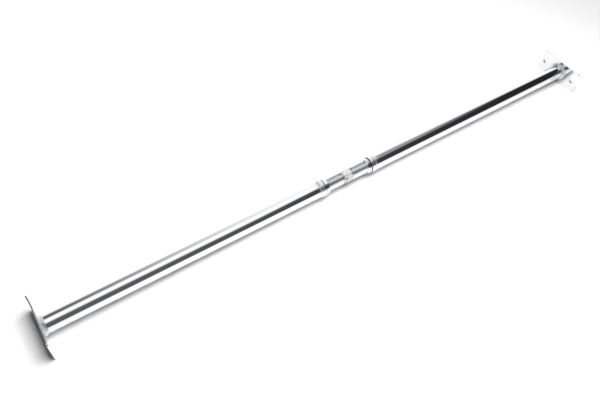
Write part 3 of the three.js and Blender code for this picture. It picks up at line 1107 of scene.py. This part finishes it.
class PieceMaker:
    """Makes each row of pieces, as (shape, name, finish, node), for both sides of the bar."""

    bl_options = {"REGISTER", "UNDO"}

    def execute(self, context):
        sizes = context.scene.bar_sizes
        for side in SIDES:
            for shape, name, finish_name, node in self.pieces:
                place_piece(on_side(shape(sizes, side), side), f"{side}_{name}", finish_name,
                            f"{side}_{node}")
        return {"FINISHED"}


class BAR_OT_tubes(PieceMaker, bpy.types.Operator):
    """Make the two chromed tubes"""

    bl_idname = "pull_up_bar.tubes"
    bl_label = "Tubes"
    pieces = [(tube, "bar_tube", "tube", "tube")]


class BAR_OT_end_plates(PieceMaker, bpy.types.Operator):
    """Make the two drilled end plates"""

    bl_idname = "pull_up_bar.end_plates"
    bl_label = "End plates"
    pieces = [(end_plate, "wall_plate", "strip", "end_plate")]


class BAR_OT_welds(PieceMaker, bpy.types.Operator):
    """Run the weld beads at the end plates and at the bushes"""

    bl_idname = "pull_up_bar.welds"
    bl_label = "Weld beads"
    pieces = [(plate_weld, "plate_bead", "weld", "plate_weld"),
              (bush_weld, "bush_bead", "weld", "bush_weld")]


class BAR_OT_bushes(PieceMaker, bpy.types.Operator):
    """Make the two threaded bushes"""

    bl_idname = "pull_up_bar.bushes"
    bl_label = "Threaded bushes"
    pieces = [(threaded_bush, "tube_bush", "turning", "threaded_bush")]


class BAR_OT_lock_rings(PieceMaker, bpy.types.Operator):
    """Make the two lock rings"""

    bl_idname = "pull_up_bar.lock_rings"
    bl_label = "Lock rings"
    pieces = [(lock_ring, "locking_ring", "turning", "lock_ring")]


class BAR_OT_studs(PieceMaker, bpy.types.Operator):
    """Cut the two threaded studs"""

    bl_idname = "pull_up_bar.studs"
    bl_label = "Threaded studs"
    pieces = [(threaded_stud, "long_stud", "thread", "threaded_stud")]


class BAR_OT_hexagon(bpy.types.Operator):
    """Make the centre hexagon"""

    bl_idname = "pull_up_bar.hexagon"
    bl_label = "Centre hexagon"
    bl_options = {"REGISTER", "UNDO"}

    def execute(self, context):
        place_piece(centre_hexagon(context.scene.bar_sizes), "turning_hexagon", "turning",
                    "centre_hex")
        return {"FINISHED"}


class BAR_OT_pins(PieceMaker, bpy.types.Operator):
    """Roll the two spring pins that hold the studs in the hexagon"""

    bl_idname = "pull_up_bar.pins"
    bl_label = "Rolled pins"
    pieces = [(rolled_pin, "rolled_pin", "spring", "hex_pin")]


class BAR_OT_guides(PieceMaker, bpy.types.Operator):
    """Make the guide discs with their washers and screws"""

    bl_idname = "pull_up_bar.guides"
    bl_label = "Guides"
    pieces = [(guide_disc, "stud_guide", "nylon", "guide_disc"),
              (guide_washer, "flat_washer", "zinc", "guide_washer"),
              (guide_screw, "socket_screw", "zinc", "guide_screw")]


class BAR_OT_stage(bpy.types.Operator):
    """Lay the floor, hang the lights and stand the camera"""

    bl_idname = "pull_up_bar.stage"
    bl_label = "Studio"
    bl_options = {"REGISTER", "UNDO"}

    def execute(self, context):
        studio = context.scene.studio
        lay_floor(studio)
        hang_key_light(studio)
        pitch_tent(context.scene, studio)
        stand_camera(context.scene, studio)
        context.scene.view_settings.view_transform = "Standard"
        return {"FINISHED"}


# Studio

# Where the floor's own glow starts and is full, from the line between the bar's ends.
FAR_FLOOR = (0.25, 1.5)
# In the tent, a height is an angle about the bar, from level at the back over the top to the front,
# and a heading is how far a direction points to the right, from -1 to 1. A pair is where something
# starts and where it is complete.
ABOVE_FLOOR = (radians(183), radians(168))
FRONT_OPENS = (radians(101), radians(125))
FRONT_LEANS_FROM = 0.3
FRONT_LEAN = 1.3
END_OPENS = (radians(38), radians(66))
END_LEANS_FROM = 0.5
END_LEAN = 1.8
# The open end starts in two steps, as (share, heading pair), and closes again further round.
END_STEPS = ((0.74, (0.43, 0.5)), (0.26, (0.53, 0.67)))
END_CLOSES = (0.9, 0.76)
FAR_GAP = (0.0, 0.75)
# The dark seam at the back of the lining.
SEAM_RISES = (radians(-25), radians(40))
SEAM_FALLS = (radians(76), radians(50))
SEAM_ENDS = (0.45, -0.1)
SEAM_DEPTH = 0.95
FILL_EDGE = (-0.3, 0.5)


def lay_floor(studio):
    """A plain pale floor under the plates' lower edges."""
    bm = bmesh.new()
    bmesh.ops.create_grid(bm, x_segments=1, y_segments=1, size=studio.floor_size / 2,
                          matrix=Matrix.Translation((0.0, 0.0, DESIGN_LOW.z)))
    ground = bpy.data.objects.new("floor", as_mesh(bm, "floor"))
    material, recipe = finish_recipe("plain_floor")
    place = recipe.place()
    grain = recipe.specks(place, 900.0)
    along, across, _ = recipe.parts_of(place)
    past_the_ends = (abs(along) - DESIGN_HIGH.x).most(0.0)
    far = span(past_the_ends, across).rise(*FAR_FLOOR)
    black = (0.0, 0.0, 0.0)
    glow = recipe.tint(far, black, studio.far_floor)
    recipe.surface(Base_Color=studio.floor_colour, Roughness=0.75 + 0.15 * grain,
                   Specular_IOR_Level=0.2, Emission_Color=glow, Emission_Strength=1.0)
    ground.data.materials.append(material)
    bpy.context.collection.objects.link(ground)


def hang_key_light(studio):
    """A long softbox over the bar, which lights the floor but isn't mirrored itself."""
    light = bpy.data.lights.new("key_light", "AREA")
    light.shape = "RECTANGLE"
    light.size = studio.key_length
    light.size_y = studio.key_width
    light.energy = studio.key_power
    lamp = bpy.data.objects.new("key_light", light)
    lamp.location = studio.key_place
    lamp.visible_glossy = False
    bpy.context.collection.objects.link(lamp)


def pitch_tent(scene, studio):
    """Surroundings that the camera sees as plain white, and the bar as a tent with two openings."""
    world = bpy.data.worlds.new("tent")
    world.use_nodes = True
    scene.world = world
    recipe = Recipe(world.node_tree, "ShaderNodeOutputWorld")
    rightwards, backwards, up = recipe.parts_of(recipe.add("ShaderNodeTexCoord", output="Generated"))
    height = up.angle_from(backwards)
    to_the_right = (rightwards - FRONT_LEANS_FROM).most(0.0)
    open_front = (height + FRONT_LEAN * to_the_right).rise(*FRONT_OPENS)
    end_edge = (height - END_LEAN * (rightwards - END_LEANS_FROM)).rise(*END_OPENS)
    (first, first_heading), (second, second_heading) = END_STEPS
    open_end = first * rightwards.rise(*first_heading) + second * rightwards.rise(*second_heading)
    open_end = open_end * end_edge * rightwards.rise(*END_CLOSES)
    opening = open_front.most(open_end) * height.rise(*ABOVE_FLOOR)
    darkness = studio.gap + (studio.far_gap - studio.gap) * rightwards.rise(*FAR_GAP)
    seam = height.rise(*SEAM_RISES) * height.rise(*SEAM_FALLS)
    seam = SEAM_DEPTH * seam * rightwards.rise(*SEAM_ENDS)
    lining = studio.tent * (1.0 - seam)
    mirrored = lining * (1.0 - opening) + darkness * opening
    fill = studio.fill * (studio.dim_side + (1 - studio.dim_side) * rightwards.rise(*FILL_EDGE))
    path = recipe.add("ShaderNodeLightPath").socket.node
    seen = Signal(recipe, path.outputs["Is Camera Ray"])
    lighting = Signal(recipe, path.outputs["Diffuse Depth"]).least(1.0)
    strength = seen + (1.0 - seen) * ((1.0 - lighting) * mirrored + lighting * fill)
    white = (1.0, 1.0, 1.0, 1.0)
    shader = recipe.add("ShaderNodeBackground", inputs={"Color": white, "Strength": strength})
    recipe.feed(recipe.end.inputs["Surface"], shader)


def stand_camera(scene, studio):
    """A camera above the bar's left-hand end, looking down along it."""
    heading, drop, roll = studio.camera_heading, studio.camera_drop, studio.camera_roll
    ahead = Vector((sin(heading) * cos(drop), cos(heading) * cos(drop), -sin(drop)))
    level = Vector((cos(heading), -sin(heading), 0.0))
    right = Matrix.Rotation(-roll, 3, ahead) @ level
    above = right.cross(ahead)
    eye = bpy.data.cameras.new("camera")
    eye.lens = studio.camera_lens
    camera = bpy.data.objects.new("camera", eye)
    camera.matrix_world = (Matrix.Translation(studio.camera_place)
                           @ Matrix((right, above, -ahead)).transposed().to_4x4())
    bpy.context.collection.objects.link(camera)
    scene.camera = camera


# Panel and start

OPERATORS = (BAR_OT_stage, BAR_OT_tubes, BAR_OT_end_plates, BAR_OT_welds, BAR_OT_bushes,
             BAR_OT_lock_rings, BAR_OT_studs, BAR_OT_hexagon, BAR_OT_pins, BAR_OT_guides)


class BAR_PT_panel(bpy.types.Panel):
    """Lists the bar's pieces and its studio"""

    bl_idname = "BAR_PT_panel"
    bl_label = "Pull Up Bar"
    bl_space_type = "VIEW_3D"
    bl_region_type = "UI"
    bl_category = "Pull Up Bar"

    def draw(self, context):
        for operator in OPERATORS:
            self.layout.operator(operator.bl_idname)


SETTINGS = {"bar_sizes": BarSizes, "bar_finish": BarFinish, "studio": Studio}


def register():
    """Registers the settings, the operators and the panel."""
    for cls in (*SETTINGS.values(), *OPERATORS, BAR_PT_panel):
        bpy.utils.register_class(cls)
    for name, group in SETTINGS.items():
        setattr(bpy.types.Scene, name, bpy.props.PointerProperty(type=group))


def unregister():
    """Takes everything off again that register has put on."""
    for name in SETTINGS:
        delattr(bpy.types.Scene, name)
    for cls in (BAR_PT_panel, *reversed(OPERATORS), *SETTINGS.values()):
        bpy.utils.unregister_class(cls)


def main():
    """Makes the stage and every piece."""
    register()
    for operator in OPERATORS:
        group, name = operator.bl_idname.split(".")
        getattr(getattr(bpy.ops, group), name)()


if __name__ == "__main__":
    main()
